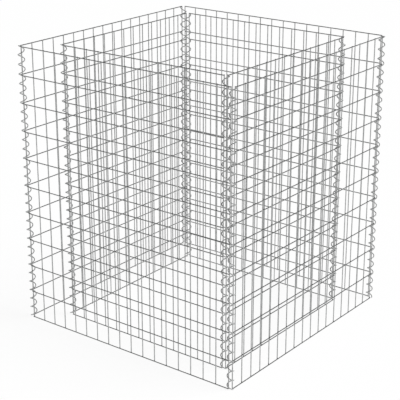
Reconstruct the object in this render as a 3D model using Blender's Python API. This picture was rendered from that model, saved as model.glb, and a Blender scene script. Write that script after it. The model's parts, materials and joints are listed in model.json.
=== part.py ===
"""Raised gabion planter: two nested square baskets of welded wire mesh.

The outer basket and the inner basket each have four flat panels. A panel is one
welding: upright wires, with cross wires fused to their outer side. Eight spiral
binders, wound up the corners round the two end wires that meet there, hold the
panels together and let them turn like hinges. Stones fill the ring between the
baskets, and soil fills the inner one. Neither basket has a floor or a lid.

Metres, +Z up. The planter stands on Z = 0, centred on the Z axis, and its front
panels face -Y.
"""

import math

import bmesh
import bpy
from mathutils import Matrix, Vector

# Wire and welds
WIRE = 0.0035
WELD_DEPTH = 0.0005

# Mesh: cross wires at one pitch in both baskets
ROWS = 10
ROW_PITCH = 0.100
HEIGHT = ROWS * ROW_PITCH + WIRE

# Each basket: distance between the uprights' planes along X and along Y, the
# distance between a panel's two end uprights, and the number of its uprights
BASKETS = {
    "outer": {"width": 0.8930, "depth": 0.8896, "panel": 0.8748, "uprights": 18},
    "inner": {"width": 0.6916, "depth": 0.6874, "panel": 0.6748, "uprights": 14},
}

# Spiral binders
SPIRAL_RADIUS = 0.0113
SPIRAL_OUTSET = 0.0010
SPIRAL_TURNS = 10
POINTS_PER_TURN = 6
SPIRAL_LEAD = math.radians(35)
SPIRAL_END_GAP = 0.0035
LEAST_COIL_GAP = 0.0004

# Finishes: hot-dip galvanised mesh, and the slightly darker spirals
MESH_COLOUR = (0.42, 0.43, 0.43, 1.0)
SPIRAL_COLOUR = (0.36, 0.37, 0.37, 1.0)
ROUGHNESS = 0.42

MERGE_DISTANCE = 0.00001

# Panels by the side of the basket that they close: which way each faces
SIDES = {
    "front": (0, -1),
    "right": (1, 0),
    "back": (0, 1),
    "left": (-1, 0),
}
CORNERS = {
    "front_left": (-1, -1),
    "front_right": (1, -1),
    "back_right": (1, 1),
    "back_left": (-1, 1),
}

# Which way each spiral winds up its corner: 1 is counter-clockwise, seen from above
WINDING = {
    "outer": {"front_left": 1, "front_right": -1, "back_right": 1, "back_left": -1},
    "inner": {"front_left": 1, "front_right": -1, "back_right": -1, "back_left": 1},
}


def clear_scene():
    for item in list(bpy.data.objects):
        bpy.data.objects.remove(item, do_unlink=True)


def new_collection(name):
    collection = bpy.data.collections.new(name)
    bpy.context.scene.collection.children.link(collection)
    return collection


def galvanised(name, colour):
    material = bpy.data.materials.new(name)
    material.use_nodes = True
    shader = material.node_tree.nodes["Principled BSDF"]
    shader.inputs["Base Color"].default_value = colour
    shader.inputs["Roughness"].default_value = ROUGHNESS
    shader.inputs["Metallic"].default_value = 1.0
    return material


def wire_section(guides):
    """Three-sided section as wide as the wire, its ridge standing half a weld proud.

    Where an upright and a cross wire touch, their ridges face each other, so the
    two fuse by the weld's depth.
    """
    half = WIRE / 2
    corners = ((-half, -half), (half, -half), (0, half + WELD_DEPTH / 2))
    curve = bpy.data.curves.new("wire_section", "CURVE")
    curve.dimensions = "2D"
    outline = curve.splines.new("POLY")
    outline.points.add(len(corners) - 1)
    for point, (x, y) in zip(outline.points, corners):
        point.co = (x, y, 0, 1)
    outline.use_cyclic_u = True
    section = bpy.data.objects.new("wire_section", curve)
    section.hide_render = True
    section.display_type = "WIRE"
    guides.objects.link(section)
    return section


def wire_mesh(name, routes, tilt, section):
    """Sweep the wire section along each route, as one mesh with closed ends.

    tilt turns the section about the wire, from its ridge facing up on a level
    wire and facing -Y on an upright one.
    """
    curve = bpy.data.curves.new(name, "CURVE")
    curve.dimensions = "3D"
    curve.twist_mode = "Z_UP"
    curve.bevel_mode = "OBJECT"
    curve.bevel_object = section
    curve.use_fill_caps = True
    for route in routes:
        wire = curve.splines.new("POLY")
        wire.points.add(len(route) - 1)
        for point, place in zip(wire.points, route):
            point.co = (*place, 1)
            point.tilt = tilt
    wires = bpy.data.objects.new(name, curve)
    bpy.context.scene.collection.objects.link(wires)
    evaluated = wires.evaluated_get(bpy.context.evaluated_depsgraph_get())
    mesh = bpy.data.meshes.new_from_object(evaluated)
    bpy.data.objects.remove(wires)
    shape = bmesh.new()
    shape.from_mesh(mesh)
    bmesh.ops.remove_doubles(shape, verts=shape.verts, dist=MERGE_DISTANCE)
    bmesh.ops.recalc_face_normals(shape, faces=shape.faces)
    shape.to_mesh(mesh)
    shape.free()
    mesh.name = name
    return mesh


def fused(name, first, second):
    """Union of two meshes as one closed body."""
    body = bpy.data.objects.new(name, first)
    joined = bpy.data.objects.new(name + "_joined", second)
    for item in (body, joined):
        bpy.context.scene.collection.objects.link(item)
    union = body.modifiers.new("weld", "BOOLEAN")
    union.operation = "UNION"
    union.solver = "EXACT"
    union.object = joined
    evaluated = body.evaluated_get(bpy.context.evaluated_depsgraph_get())
    mesh = bpy.data.meshes.new_from_object(evaluated)
    bpy.data.objects.remove(joined)
    bpy.data.objects.remove(body)
    mesh.name = name
    return mesh


def panel_mesh(name, size, section):
    """A flat welded panel that faces -Y, with its uprights' axes in the plane Y = 0.

    The cross wires lie outside the uprights and end flush with the end uprights,
    and the uprights end flush with the top and bottom cross wires.
    """
    half = size["panel"] / 2
    spacing = size["panel"] / (size["uprights"] - 1)
    uprights = [
        (Vector((-half + i * spacing, 0, 0)), Vector((-half + i * spacing, 0, HEIGHT)))
        for i in range(size["uprights"])
    ]
    reach = half + WIRE / 2
    levels = [WIRE / 2 + i * ROW_PITCH for i in range(ROWS + 1)]
    cross_wires = [(Vector((-reach, -WIRE, z)), Vector((reach, -WIRE, z))) for z in levels]
    upright_mesh = wire_mesh(name + "_uprights", uprights, 0, section)
    cross_mesh = wire_mesh(name + "_cross_wires", cross_wires, -math.pi / 2, section)
    return fused(name, upright_mesh, cross_mesh)


def corner_axis(size, corner):
    """Upright axis of a corner's spiral: midway between the two end wires, set out a little."""
    outward = Vector((*corner, 0)).normalized()
    x = (size["width"] + size["panel"]) / 4 * corner[0]
    y = (size["depth"] + size["panel"]) / 4 * corner[1]
    return Vector((x, y, 0)) + outward * SPIRAL_OUTSET


def spiral_route(corner, hand):
    """Points of a corner's helix about its own axis.

    It passes the level of each cross wire a little before the corner's diagonal.
    """
    start = math.atan2(corner[1], corner[0]) - hand * SPIRAL_LEAD
    rise = HEIGHT - 2 * SPIRAL_END_GAP
    steps = SPIRAL_TURNS * POINTS_PER_TURN
    route = []
    for i in range(steps + 1):
        angle = start + hand * math.tau * i / POINTS_PER_TURN
        route.append(Vector((
            SPIRAL_RADIUS * math.cos(angle),
            SPIRAL_RADIUS * math.sin(angle),
            SPIRAL_END_GAP + rise * i / steps,
        )))
    return route


def carrier(corner, hand):
    """The side of the panel that carries a corner's spiral.

    It is the one on whose side of the diagonal the spiral passes the cross wires, so
    that the other panel is free to swing.
    """
    x, y = corner
    if hand == x * y:
        return "left" if x < 0 else "right"
    return "front" if y < 0 else "back"


def least_gap(route):
    """Least clear distance between a spiral's points half a turn or more apart."""
    apart = POINTS_PER_TURN // 2
    return min(
        (route[j] - route[i]).length - WIRE
        for i in range(len(route))
        for j in range(i + apart, len(route))
    )


def place(collection, name, mesh, material, matrix, pivot=None):
    """Link one piece, at a world matrix and under its hinge's empty if it has one."""
    piece = bpy.data.objects.new(name, mesh)
    piece.data.materials.clear()
    piece.data.materials.append(material)
    collection.objects.link(piece)
    if pivot:
        piece.parent = pivot
        piece.matrix_local = pivot.matrix_local.inverted() @ matrix
    else:
        piece.matrix_local = matrix
    return piece


def hinge_empty(collection, name, axis):
    pivot = bpy.data.objects.new(name, None)
    pivot.matrix_local = Matrix.Translation(axis)
    collection.objects.link(pivot)
    return pivot


def build_basket(collection, basket, size, section, mesh_finish, spiral_finish):
    """Four panels and four spirals, each moving piece under the empty of its hinge.

    The left and right panels swing about the front spirals, and the back panel
    swings about the back left one. Each spiral swings with the panel that carries it.
    """
    axes = {corner: corner_axis(size, signs) for corner, signs in CORNERS.items()}
    pivots = {
        "left": hinge_empty(collection, basket + "_left_hinge", axes["front_left"]),
        "right": hinge_empty(collection, basket + "_right_hinge", axes["front_right"]),
        "back": hinge_empty(collection, basket + "_back_hinge", axes["back_left"]),
    }
    panel = panel_mesh(basket + "_panel", size, section)
    for side, (x, y) in SIDES.items():
        turn = Matrix.Rotation(math.atan2(y, x) + math.pi / 2, 4, "Z")
        middle = Matrix.Translation((x * size["width"] / 2, y * size["depth"] / 2, 0))
        place(collection, f"{basket}_{side}_panel", panel, mesh_finish, middle @ turn, pivots.get(side))
    for corner, signs in CORNERS.items():
        name = f"{basket}_{corner}_spiral"
        hand = WINDING[basket][corner]
        route = spiral_route(signs, hand)
        gap = least_gap(route)
        print(f"{name}: least gap between turns {gap * 1000:.2f} mm")
        assert gap > LEAST_COIL_GAP
        coil = wire_mesh(name, [route], hand * math.pi / 2, section)
        pivot = pivots.get(carrier(signs, hand))
        place(collection, name, coil, spiral_finish, Matrix.Translation(axes[corner]), pivot)


def main():
    clear_scene()
    planter = new_collection("raised_gabion_planter")
    guides = new_collection("guides")
    section = wire_section(guides)
    mesh_finish = galvanised("galvanised_mesh", MESH_COLOUR)
    spiral_finish = galvanised("galvanised_spiral", SPIRAL_COLOUR)
    for basket, size in BASKETS.items():
        build_basket(planter, basket, size, section, mesh_finish, spiral_finish)


main()
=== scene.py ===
"""Looks of the raised gabion planter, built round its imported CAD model.

Every panel and spiral of the CAD model is replaced by a wire-for-wire copy: round
galvanised wires with cropped ends, a weld nugget at each crossing, and spirals that
make three turns to each row of the mesh. Metres, +Z up, standing on Z = 0.
"""

import json
import math
import random

import bmesh
import bpy
from mathutils import Matrix, Vector


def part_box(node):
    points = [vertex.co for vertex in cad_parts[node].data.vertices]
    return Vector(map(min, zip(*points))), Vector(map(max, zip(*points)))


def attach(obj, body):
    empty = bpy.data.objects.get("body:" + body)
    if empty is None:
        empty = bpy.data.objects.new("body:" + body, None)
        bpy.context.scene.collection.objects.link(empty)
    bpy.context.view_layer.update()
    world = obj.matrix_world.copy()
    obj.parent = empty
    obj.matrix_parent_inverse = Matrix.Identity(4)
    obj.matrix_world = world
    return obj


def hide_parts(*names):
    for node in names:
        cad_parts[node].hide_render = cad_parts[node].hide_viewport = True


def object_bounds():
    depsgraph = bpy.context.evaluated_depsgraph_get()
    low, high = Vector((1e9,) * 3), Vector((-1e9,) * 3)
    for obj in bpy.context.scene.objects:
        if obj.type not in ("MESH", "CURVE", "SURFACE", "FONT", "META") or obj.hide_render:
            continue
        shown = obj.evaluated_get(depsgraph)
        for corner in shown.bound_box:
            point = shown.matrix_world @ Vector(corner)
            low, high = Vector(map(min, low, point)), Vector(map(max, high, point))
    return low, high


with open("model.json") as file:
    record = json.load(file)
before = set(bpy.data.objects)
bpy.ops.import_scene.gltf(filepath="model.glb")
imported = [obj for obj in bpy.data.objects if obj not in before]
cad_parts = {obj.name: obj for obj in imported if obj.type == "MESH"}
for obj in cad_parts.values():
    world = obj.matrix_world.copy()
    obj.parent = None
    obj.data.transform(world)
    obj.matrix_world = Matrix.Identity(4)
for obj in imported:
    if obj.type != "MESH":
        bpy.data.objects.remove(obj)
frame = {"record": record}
cad_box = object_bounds()
body_of = {
    node: body
    for body, nodes in frame["record"]["behaviour"]["bodies"].items()
    for node in nodes
}

# Wire
WIRE = 0.0035
WIRE_SIDES = 16
CROP_BEVEL = 0.00035

# Mesh: both baskets have the same rows, and each its own number of uprights in a panel
ROWS = 10
UPRIGHTS = {"outer": 18, "inner": 14}

# Welds: the two wires are pressed into each other, and the squeezed metal stands out.
# A weld's size differs by the spread, as a share, either way. Of a panel's finishes,
# welds have the second
SET_DOWN = 0.0005
NUGGET_WIDTH = 0.0032
NUGGET_DEPTH = 0.0024
NUGGET_SPREAD = 0.08
NUGGET_AROUND = 8
NUGGET_RINGS = 5
WELD_FINISH = 1

# Spiral binders. The lead is how far before the corner's diagonal the wire passes the
# level of a cross wire
SPIRAL_RADIUS = 0.01078
TURNS_PER_ROW = 3
SPIRAL_LEAD = math.radians(40)
SPIRAL_SIDES = 12
STEPS_PER_TURN = 20
MERGE_DISTANCE = 0.00001

# Which way each panel faces, and which corner each spiral stands in
SIDES = {"front": (0, -1), "right": (1, 0), "back": (0, 1), "left": (-1, 0)}
CORNERS = {
    "front_left": (-1, -1),
    "front_right": (1, -1),
    "back_right": (1, 1),
    "back_left": (-1, 1),
}

# Which way each spiral winds up its corner: 1 is counter-clockwise, seen from above
WINDING = {
    "outer": {"front_left": 1, "front_right": -1, "back_right": 1, "back_left": -1},
    "inner": {"front_left": 1, "front_right": -1, "back_right": -1, "back_left": 1},
}

# What every vertex of a wire knows for its finish: its place across and along the wire.
# The finish of each wire begins up to the longest offset along the pattern, so that no
# two wires look the same. One seed draws these offsets and the welds' sizes
WIRE_PLACE = "wire_place"
LONGEST_OFFSET = 8.0
DRAW_SEED = 41
SMOOTH_ANGLE = math.radians(40)

# Pattern of the zinc: broad patches, crystals, and streaks that the drawing of the wire
# left along it. The tones and reliefs are shares of a full step from dull to bright
PATCH_SCALE = 55
PATCH_DETAIL = 3
PATCH_ROUGHNESS = 0.6
PATCH_DULL = 0.38
PATCH_BRIGHT = 0.62
CRYSTAL_SCALE = 420
CRYSTAL_TONE = 0.3
CRYSTAL_RELIEF = 0.4
STREAK_SCALE = 1900
STREAK_DETAIL = 2
STREAK_ROUGHNESS = 0.5
STREAK_STRETCH = (1, 1, 0.08)
RELIEF_STRENGTH = 0.5

# Camera, at the photograph's viewing angle. Its lens and sensor are in millimetres, and
# its shift is small, so that the other views keep the lifted basket
AIM = Vector((0.0251, -0.0596, 0.5181))
DISTANCE = 4.2
AZIMUTH = math.radians(37.58)
ELEVATION = math.radians(19.15)
LENS = 107.5
SENSOR = 36
SHIFT_Y = -0.05

# Studio. The white band round the horizon fades between two heights, each given as the
# Z of the direction that points there
FLOOR_RADIUS = 60
FLOOR_SIDES = 64
FLOOR_COLOUR = (0.93, 0.93, 0.93, 1)
FLOOR_ROUGHNESS = 0.9
FLOOR_GLOW = 0.92
WHITE = (1, 1, 1, 1)
WHITE_STRENGTH = 1.0
DOME_COLOUR = (0.04, 0.04, 0.04, 1)
BAND_EDGE = 0.16
BAND_FADE = 0.24
SUN_STRENGTH = 3.5
SUN_SIZE = math.radians(30)
SUN_DIRECTION = Vector((0.40, 0.25, 0.88))


# Shader nodes


def add_node(tree, kind, values=None, **settings):
    """A node with its settings, and with a plain value or a link on each named input."""
    node = tree.nodes.new(kind)
    for setting, value in settings.items():
        setattr(node, setting, value)
    for socket, value in (values or {}).items():
        if isinstance(value, bpy.types.NodeSocket):
            tree.links.new(value, node.inputs[socket])
        else:
            node.inputs[socket].default_value = value
    return node


def add_math(tree, operation, first, second, third=None, clamp=False):
    values = {0: first, 1: second}
    if third is not None:
        values[2] = third
    node = add_node(tree, "ShaderNodeMath", values, operation=operation, use_clamp=clamp)
    return node.outputs[0]


def mix_colours(tree, share, first, second):
    """The first colour at share 0, and the second at share 1.

    The node's sockets for numbers, vectors and colours share their names, so those
    for colours go by their places: 6 and 7 in, and 2 out.
    """
    node = add_node(tree, "ShaderNodeMix", {0: share, 6: first, 7: second}, data_type="RGBA")
    return node.outputs[2]


def new_group(name, inputs, outputs):
    """An empty group with sockets given as {name: kind}."""
    group = bpy.data.node_groups.new(name, "ShaderNodeTree")
    for direction, sockets in (("INPUT", inputs), ("OUTPUT", outputs)):
        for socket, kind in sockets.items():
            group.interface.new_socket(
                name=socket, in_out=direction, socket_type="NodeSocket" + kind
            )
    inside = group.nodes.new("NodeGroupInput")
    outside = group.nodes.new("NodeGroupOutput")
    return group, inside.outputs, outside.inputs


def zinc_coat_group():
    """Zinc on wire: dull and bright patches, a fine crystal grain, and marks drawn along it."""
    group, given, result = new_group(
        "zinc_coat",
        {
            "Place": "Vector",
            "Bright": "Color",
            "Dull": "Color",
            "Roughness": "Float",
            "Roughness Spread": "Float",
            "Streaks": "Float",
        },
        {"Colour": "Color", "Roughness": "Float", "Height": "Float"},
    )
    drawn = add_node(
        group, "ShaderNodeMapping", {"Vector": given["Place"], "Scale": STREAK_STRETCH}
    )
    patches = add_node(
        group,
        "ShaderNodeTexNoise",
        {
            "Vector": given["Place"],
            "Scale": PATCH_SCALE,
            "Detail": PATCH_DETAIL,
            "Roughness": PATCH_ROUGHNESS,
        },
    )
    crystals = add_node(
        group, "ShaderNodeTexVoronoi", {"Vector": given["Place"], "Scale": CRYSTAL_SCALE}
    )
    streaks = add_node(
        group,
        "ShaderNodeTexNoise",
        {
            "Vector": drawn.outputs[0],
            "Scale": STREAK_SCALE,
            "Detail": STREAK_DETAIL,
            "Roughness": STREAK_ROUGHNESS,
        },
    )
    crystal_tone = add_node(group, "ShaderNodeSeparateColor", {0: crystals.outputs["Color"]})
    patch_mask = add_node(
        group,
        "ShaderNodeMapRange",
        {"Value": patches.outputs[0], "From Min": PATCH_DULL, "From Max": PATCH_BRIGHT},
        interpolation_type="SMOOTHSTEP",
    )
    mottled = add_math(
        group, "MULTIPLY_ADD", crystal_tone.outputs[0], CRYSTAL_TONE, patch_mask.outputs[0]
    )
    streak_share = add_math(group, "MULTIPLY", streaks.outputs[0], given["Streaks"])
    bright_share = add_math(group, "SUBTRACT", mottled, streak_share, clamp=True)
    group.links.new(
        mix_colours(group, bright_share, given["Dull"], given["Bright"]), result["Colour"]
    )
    dullness = add_math(group, "SUBTRACT", 1.0, bright_share)
    group.links.new(
        add_math(group, "MULTIPLY_ADD", dullness, given["Roughness Spread"], given["Roughness"]),
        result["Roughness"],
    )
    group.links.new(
        add_math(group, "MULTIPLY_ADD", crystal_tone.outputs[0], CRYSTAL_RELIEF, streak_share),
        result["Height"],
    )
    return group


def zinc_finish(name, coat, bright, dull, metallic, roughness, spread, streaks, bump):
    """A galvanised finish whose pattern follows each wire."""
    material = bpy.data.materials.new(name)
    material.use_nodes = True
    tree = material.node_tree
    shader = tree.nodes["Principled BSDF"]
    place = add_node(tree, "ShaderNodeAttribute", attribute_name=WIRE_PLACE)
    zinc = add_node(tree, "ShaderNodeGroup", node_tree=coat)
    tree.links.new(place.outputs["Vector"], zinc.inputs["Place"])
    zinc.inputs["Bright"].default_value = bright
    zinc.inputs["Dull"].default_value = dull
    zinc.inputs["Roughness"].default_value = roughness
    zinc.inputs["Roughness Spread"].default_value = spread
    zinc.inputs["Streaks"].default_value = streaks
    relief = add_node(
        tree,
        "ShaderNodeBump",
        {"Height": zinc.outputs["Height"], "Strength": RELIEF_STRENGTH, "Distance": bump},
    )
    shader.inputs["Metallic"].default_value = metallic
    tree.links.new(zinc.outputs["Colour"], shader.inputs["Base Color"])
    tree.links.new(zinc.outputs["Roughness"], shader.inputs["Roughness"])
    tree.links.new(relief.outputs["Normal"], shader.inputs["Normal"])
    return material


# Wires


def new_shape():
    """An empty bmesh and the layer that holds each vertex's place on its wire."""
    shape = bmesh.new()
    return shape, shape.verts.layers.float_vector.new(WIRE_PLACE)


def keep_as_mesh(shape, name):
    mesh = bpy.data.meshes.new(name)
    shape.to_mesh(mesh)
    shape.free()
    return mesh


def crop_ends(shape, rims):
    """Take the sharp edge off a cut end."""
    bmesh.ops.bevel(
        shape,
        geom=rims,
        offset=CROP_BEVEL,
        segments=1,
        profile=0.5,
        affect="EDGES",
        material=-1,
    )


def straight_wire(length):
    """A round wire up +Z from the origin, with cropped ends."""
    shape, place = new_shape()
    bmesh.ops.create_cone(
        shape,
        cap_ends=True,
        segments=WIRE_SIDES,
        radius1=WIRE / 2,
        radius2=WIRE / 2,
        depth=length,
        matrix=Matrix.Translation((0, 0, length / 2)),
    )
    crop_ends(shape, [edge for edge in shape.edges if edge.calc_length() < WIRE])
    for vert in shape.verts:
        vert[place] = vert.co
    return keep_as_mesh(shape, "straight_wire")


def weld_nugget():
    """The metal squeezed out round a weld, flat towards Y."""
    shape, place = new_shape()
    bmesh.ops.create_uvsphere(
        shape,
        u_segments=NUGGET_AROUND,
        v_segments=NUGGET_RINGS,
        radius=0.5,
        matrix=Matrix.Diagonal((NUGGET_WIDTH, NUGGET_DEPTH, NUGGET_WIDTH, 1)),
    )
    for vert in shape.verts:
        vert[place] = vert.co
    for face in shape.faces:
        face.material_index = WELD_FINISH
    return keep_as_mesh(shape, "weld_nugget")


def add_copy(shape, place, mesh, matrix, offset=0.0):
    """Add a copy of a mesh, with its finish begun that far along the wire."""
    first = len(shape.verts)
    shape.from_mesh(mesh)
    shape.verts.ensure_lookup_table()
    for vert in shape.verts[first:]:
        vert.co = matrix @ vert.co
        vert[place].z += offset


def finish_piece(name, shape, finishes):
    """Make the mesh an object that stands for the CAD node of its name."""
    bmesh.ops.recalc_face_normals(shape, faces=shape.faces)
    mesh = keep_as_mesh(shape, name + "_wire")
    mesh.shade_smooth()
    mesh.set_sharp_from_angle(angle=SMOOTH_ANGLE)
    for finish in finishes:
        mesh.materials.append(finish)
    piece = bpy.data.objects.new(name + "_wire", mesh)
    bpy.context.scene.collection.objects.link(piece)
    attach(piece, body_of[name])
    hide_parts(name)


# Welded mesh panels


def build_panel(basket, side, finishes, draw):
    """One welded panel, made facing -Y at the origin and then stood in its place."""
    name = f"{basket}_{side}_panel"
    low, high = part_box(name)
    outward = Vector((*SIDES[side], 0))
    across = Vector((-outward.y, outward.x, 0))
    height = high.z
    reach = abs((high - low).dot(across)) / 2
    inner_face = min(low.dot(outward), high.dot(outward))
    half = reach - WIRE / 2
    count = UPRIGHTS[basket]
    places = [half * (2 * i / (count - 1) - 1) for i in range(count)]
    levels = [WIRE / 2 + (height - WIRE) * i / ROWS for i in range(ROWS + 1)]
    upright_y = -SET_DOWN / 2
    cross_y = SET_DOWN / 2 - WIRE
    upright = straight_wire(height)
    cross_wire = straight_wire(2 * reach)
    nugget = weld_nugget()
    lying = Matrix.Rotation(math.pi / 2, 4, "Y")
    shape, place = new_shape()
    for x in places:
        foot = Matrix.Translation((x, upright_y, 0))
        add_copy(shape, place, upright, foot, draw.uniform(0, LONGEST_OFFSET))
    for z in levels:
        end = Matrix.Translation((-reach, cross_y, z))
        add_copy(shape, place, cross_wire, end @ lying, draw.uniform(0, LONGEST_OFFSET))
    for z in levels:
        for x in places:
            centre = Matrix.Translation((x, (upright_y + cross_y) / 2, z))
            size = Matrix.Scale(draw.uniform(1 - NUGGET_SPREAD, 1 + NUGGET_SPREAD), 4)
            add_copy(shape, place, nugget, centre @ size, draw.uniform(0, LONGEST_OFFSET))
    turn = Matrix.Rotation(math.atan2(outward.y, outward.x) + math.pi / 2, 4, "Z")
    shape.transform(Matrix.Translation(outward * (inner_face + WIRE / 2)) @ turn)
    finish_piece(name, shape, finishes)


# Spiral binders


def row_of_turns(start, hand, pitch):
    """The turns beside one row of the mesh: a wire section spun up the Z axis."""
    shape, place = new_shape()
    tangent = Vector((0, hand * SPIRAL_RADIUS, pitch / math.tau))
    section = Matrix.LocRotScale((SPIRAL_RADIUS, 0, 0), tangent.to_track_quat("Z", "Y"), None)
    bmesh.ops.create_circle(
        shape,
        segments=SPIRAL_SIDES,
        radius=WIRE / 2,
        matrix=Matrix.Rotation(start, 4, "Z") @ section,
    )
    bmesh.ops.spin(
        shape,
        geom=shape.verts[:] + shape.edges[:],
        cent=(0, 0, 0),
        axis=(0, 0, hand),
        dvec=(0, 0, pitch / STEPS_PER_TURN),
        angle=math.tau * TURNS_PER_ROW,
        steps=TURNS_PER_ROW * STEPS_PER_TURN,
    )
    return keep_as_mesh(shape, "row_of_turns")


def build_spiral(basket, corner, finish, draw):
    """One spiral up a corner, a row at a time."""
    name = f"{basket}_{corner}_spiral"
    low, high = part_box(name)
    x, y = CORNERS[corner]
    hand = WINDING[basket][corner]
    row_pitch = (cad_box[1].z - WIRE) / ROWS
    pitch = row_pitch / TURNS_PER_ROW
    start = math.atan2(y, x) - hand * SPIRAL_LEAD
    row = row_of_turns(start, hand, pitch)
    shape, place = new_shape()
    for i in range(ROWS):
        add_copy(shape, place, row, Matrix.Translation((0, 0, WIRE / 2 + row_pitch * i)))
    bmesh.ops.remove_doubles(shape, verts=shape.verts, dist=MERGE_DISTANCE)
    rims = [edge for edge in shape.edges if edge.is_boundary]
    bmesh.ops.holes_fill(shape, edges=rims)
    crop_ends(shape, rims)
    offset = draw.uniform(0, LONGEST_OFFSET)
    wire_per_radian = math.hypot(SPIRAL_RADIUS, pitch / math.tau)
    for vert in shape.verts:
        angle = hand * (math.atan2(vert.co.y, vert.co.x) - start) % math.tau
        rise = vert.co.z - WIRE / 2 - pitch * angle / math.tau
        turn = round(rise / pitch)
        along = (angle + math.tau * turn) * wire_per_radian
        vert[place] = (vert.co.xy.length - SPIRAL_RADIUS, rise - turn * pitch, along + offset)
    shape.transform(Matrix.Translation(((low.x + high.x) / 2, (low.y + high.y) / 2, 0)))
    finish_piece(name, shape, [finish])


# Studio


def ray_share(tree, strength):
    """The strength for rays that see the background: camera, glossy and transmission rays."""
    rays = add_node(tree, "ShaderNodeLightPath")
    seen = add_math(
        tree, "MAXIMUM", rays.outputs["Is Camera Ray"], rays.outputs["Is Glossy Ray"]
    )
    seen = add_math(tree, "MAXIMUM", seen, rays.outputs["Is Transmission Ray"])
    return add_math(tree, "MULTIPLY", seen, strength)


def build_floor():
    """A wide white floor that keeps a faint shadow of the planter."""
    shape = bmesh.new()
    bmesh.ops.create_circle(shape, cap_ends=True, segments=FLOOR_SIDES, radius=FLOOR_RADIUS)
    mesh = keep_as_mesh(shape, "floor")
    floor = bpy.data.objects.new("floor", mesh)
    bpy.context.scene.collection.objects.link(floor)
    material = bpy.data.materials.new("floor_paint")
    material.use_nodes = True
    tree = material.node_tree
    paint = tree.nodes["Principled BSDF"]
    paint.inputs["Base Color"].default_value = FLOOR_COLOUR
    paint.inputs["Roughness"].default_value = FLOOR_ROUGHNESS
    glow = add_node(tree, "ShaderNodeEmission", {"Color": WHITE, "Strength": WHITE_STRENGTH})
    mixed = add_node(
        tree,
        "ShaderNodeMixShader",
        {0: ray_share(tree, FLOOR_GLOW), 1: paint.outputs[0], 2: glow.outputs[0]},
    )
    tree.links.new(mixed.outputs[0], tree.nodes["Material Output"].inputs["Surface"])
    mesh.materials.append(material)


def build_world():
    """A dim dome over a white band round the horizon, the backdrop of every low view."""
    world = bpy.data.worlds.new("studio")
    bpy.context.scene.world = world
    world.use_nodes = True
    tree = world.node_tree
    direction = add_node(tree, "ShaderNodeTexCoord")
    parts = add_node(tree, "ShaderNodeSeparateXYZ", {0: direction.outputs["Generated"]})
    height = add_node(
        tree,
        "ShaderNodeMapRange",
        {"Value": parts.outputs["Z"], "From Min": BAND_EDGE, "From Max": BAND_FADE},
        interpolation_type="SMOOTHSTEP",
    )
    colour = mix_colours(tree, height.outputs[0], WHITE, DOME_COLOUR)
    tree.links.new(colour, tree.nodes["Background"].inputs["Color"])


def build_lamps():
    """One soft lamp. The metal mirrors the white studio and not the lamp, whose glints
    would break the line of a thin wire.
    """
    sun = bpy.data.lights.new("overhead_light", "SUN")
    sun.energy = SUN_STRENGTH
    sun.angle = SUN_SIZE
    lamp = bpy.data.objects.new("overhead_light", sun)
    lamp.rotation_euler = SUN_DIRECTION.to_track_quat("Z", "Y").to_euler()
    lamp.visible_glossy = False
    bpy.context.scene.collection.objects.link(lamp)


def build_camera():
    data = bpy.data.cameras.new("camera")
    data.lens = LENS
    data.sensor_width = SENSOR
    data.shift_y = SHIFT_Y
    camera = bpy.data.objects.new("camera", data)
    bpy.context.scene.collection.objects.link(camera)
    level = math.cos(ELEVATION)
    back = Vector((math.sin(AZIMUTH) * level, -math.cos(AZIMUTH) * level, math.sin(ELEVATION)))
    camera.location = AIM + back * DISTANCE
    camera.rotation_euler = (-back).to_track_quat("-Z", "Y").to_euler()
    bpy.context.scene.camera = camera


bpy.context.scene.view_settings.view_transform = "Standard"
build_camera()
build_world()
build_lamps()
build_floor()

zinc_coat = zinc_coat_group()
mesh_zinc = zinc_finish(
    "mesh_zinc",
    zinc_coat,
    bright=(0.431, 0.438, 0.436, 1),
    dull=(0.350, 0.356, 0.354, 1),
    metallic=1.0,
    roughness=0.26,
    spread=0.10,
    streaks=0.35,
    bump=0.00004,
)
weld_zinc = zinc_finish(
    "weld_zinc",
    zinc_coat,
    bright=(0.382, 0.388, 0.386, 1),
    dull=(0.303, 0.308, 0.306, 1),
    metallic=1.0,
    roughness=0.48,
    spread=0.14,
    streaks=0.2,
    bump=0.00008,
)
spiral_zinc = zinc_finish(
    "spiral_zinc",
    zinc_coat,
    bright=(0.585, 0.594, 0.591, 1),
    dull=(0.473, 0.480, 0.478, 1),
    metallic=0.5,
    roughness=0.58,
    spread=0.10,
    streaks=0.4,
    bump=0.00003,
)

draw = random.Random(DRAW_SEED)
for basket in UPRIGHTS:
    for side in SIDES:
        build_panel(basket, side, [mesh_zinc, weld_zinc], draw)
    for corner in CORNERS:
        build_spiral(basket, corner, spiral_zinc, draw)
